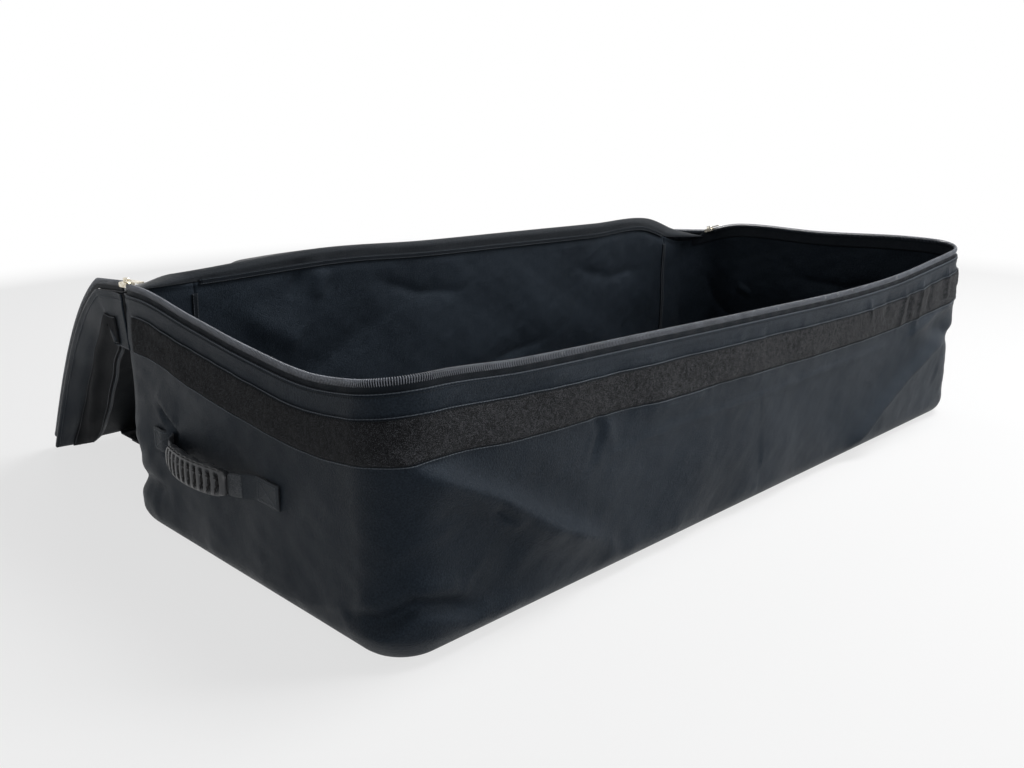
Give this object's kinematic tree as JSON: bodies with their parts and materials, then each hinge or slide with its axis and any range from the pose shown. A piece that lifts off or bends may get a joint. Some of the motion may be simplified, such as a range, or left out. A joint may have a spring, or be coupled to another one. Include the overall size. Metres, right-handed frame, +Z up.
{
  "type": "transit bag",
  "caption": "Long soft-sided cloth transit bag, open and empty, with a zipped lid thrown back behind it and a webbing carry handle with a moulded grip on each end.",
  "frame": {"origin": "middle of the tub's underside, on the surface that it stands on", "axes": "+Z up, +X along the bag's length, -Y towards the front wall, +Y towards the thrown-back lid"},
  "size_m": [1.2736, 0.874, 0.3151],
  "materials": {
    "bag_cloth": "black woven coated polyester, faint sheen",
    "webbing": "black woven tape and webbing, matt",
    "loop_pile": "black loop pile, fuzzy",
    "hook_tape": "black hook tape, matt with fine hooks",
    "zip_teeth": "black nylon coil, satin",
    "grip_rubber": "black moulded rubber, satin",
    "zip_metal": "pale plated metal, worn satin"
  },
  "bodies": {
    "root": {"wall_band": "bag_cloth", "rear_panel": "bag_cloth", "base_panel": "bag_cloth", "lid_panel": "bag_cloth", "lid_skirt_left": "bag_cloth", "lid_skirt_right": "bag_cloth", "lid_skirt_front": "bag_cloth", "base_binding": "webbing", "seam_tape_left": "webbing", "seam_tape_right": "webbing", "rear_seam_binding": "webbing", "tub_zip_tape": "webbing", "lid_zip_tape": "webbing", "handle_anchor_front_left": "webbing", "handle_anchor_rear_left": "webbing", "handle_anchor_front_right": "webbing", "handle_anchor_rear_right": "webbing", "loop_strip": "loop_pile", "hook_strip_left": "hook_tape", "hook_strip_right": "hook_tape", "hook_strip_front": "hook_tape", "tub_zip_coil": "zip_teeth", "lid_zip_coil": "zip_teeth", "slider_left": "zip_metal", "slider_right": "zip_metal"},
    "handle_left": {"handle_strap_left": "webbing", "handle_grip_left": "grip_rubber"},
    "handle_right": {"handle_strap_right": "webbing", "handle_grip_right": "grip_rubber"},
    "pull_left": {"pull_left": "zip_metal"},
    "pull_right": {"pull_right": "zip_metal"}
  },
  "joints": [
    {"name": "handle_left_swing", "type": "hinge", "parent": "root", "child": "handle_left", "pos_m": [-0.612, 0.045, 0.131], "axis": [0, 1, 0], "range_deg": [-40, 40]},
    {"name": "handle_right_swing", "type": "hinge", "parent": "root", "child": "handle_right", "pos_m": [0.612, 0.045, 0.131], "axis": [0, -1, 0], "range_deg": [-40, 40]},
    {"name": "pull_left_hinge", "type": "hinge", "parent": "root", "child": "pull_left", "pos_m": [-0.59276, 0.23439, 0.31145], "axis": [-0.9903, -0.1392, 0], "range_deg": [0, 115]},
    {"name": "pull_right_hinge", "type": "hinge", "parent": "root", "child": "pull_right", "pos_m": [0.59293, 0.23559, 0.25827], "axis": [-0.9903, 0.1392, 0], "range_deg": [0, 115]}
  ]
}
